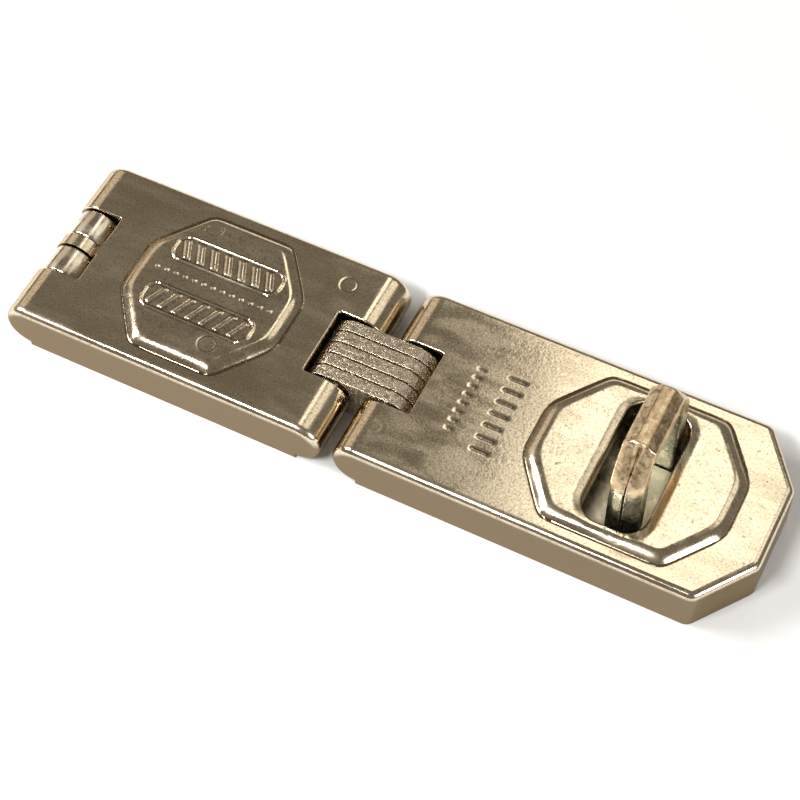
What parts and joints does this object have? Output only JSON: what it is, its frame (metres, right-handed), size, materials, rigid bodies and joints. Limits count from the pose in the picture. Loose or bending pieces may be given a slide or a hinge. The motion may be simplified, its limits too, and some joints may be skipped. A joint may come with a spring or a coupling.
{
  "type": "hasp and staple",
  "caption": "Flat double-jointed hasp: two pressed steel leaves joined by a laminated link, hinged on a plate and closed over a round-shouldered staple.",
  "frame": {"origin": "middle of the whole hasp in plan, at the back of its mounting plates", "axes": "+X from the hinge end to the cut-off tip, +Y across the leaves, +Z away from the door"},
  "size_m": [0.155, 0.041, 0.0306],
  "materials": {
    "leaf_steel": "bright plated sheet steel with a warm cast",
    "link_steel": "plated hardened steel, rough on top",
    "pin_steel": "plain hardened steel",
    "plate_steel": "plated sheet steel",
    "staple_steel": "plated steel aged to bronze along the top"
  },
  "bodies": {
    "mounting": {"hinge_plate": "plate_steel", "hinge_pin": "pin_steel"},
    "first_leaf_assembly": {"first_leaf": "leaf_steel", "first_backing": "plate_steel", "roll_stop_a": "plate_steel", "link_pin_a": "pin_steel"},
    "link": {"link_plate_1": "link_steel", "link_plate_2": "link_steel", "link_plate_3": "link_steel", "link_plate_4": "link_steel", "link_plate_5": "link_steel"},
    "second_leaf_assembly": {"second_leaf": "leaf_steel", "second_backing": "plate_steel", "roll_stop_b": "plate_steel", "link_pin_b": "pin_steel"},
    "staple_assembly": {"staple": "staple_steel", "staple_plate": "plate_steel"}
  },
  "joints": [
    {"name": "hinge_swing", "type": "hinge", "parent": "mounting", "child": "first_leaf_assembly", "pos_m": [-0.07225, 0, 0.00525], "axis": [0, -1, 0], "range_deg": [0, 175]},
    {"name": "link_fold_a", "type": "hinge", "parent": "first_leaf_assembly", "child": "link", "pos_m": [-0.01225, 0, 0.00525], "axis": [0, -1, 0], "range_deg": [-45, 75]},
    {"name": "link_fold_b", "type": "hinge", "parent": "link", "child": "second_leaf_assembly", "pos_m": [0.00075, 0, 0.00525], "axis": [0, -1, 0], "range_deg": [-45, 75]},
    {"name": "staple_draw", "type": "slide", "parent": "second_leaf_assembly", "child": "staple_assembly", "axis": [0, 0, -1], "range_m": [0, 0.034]}
  ]
}
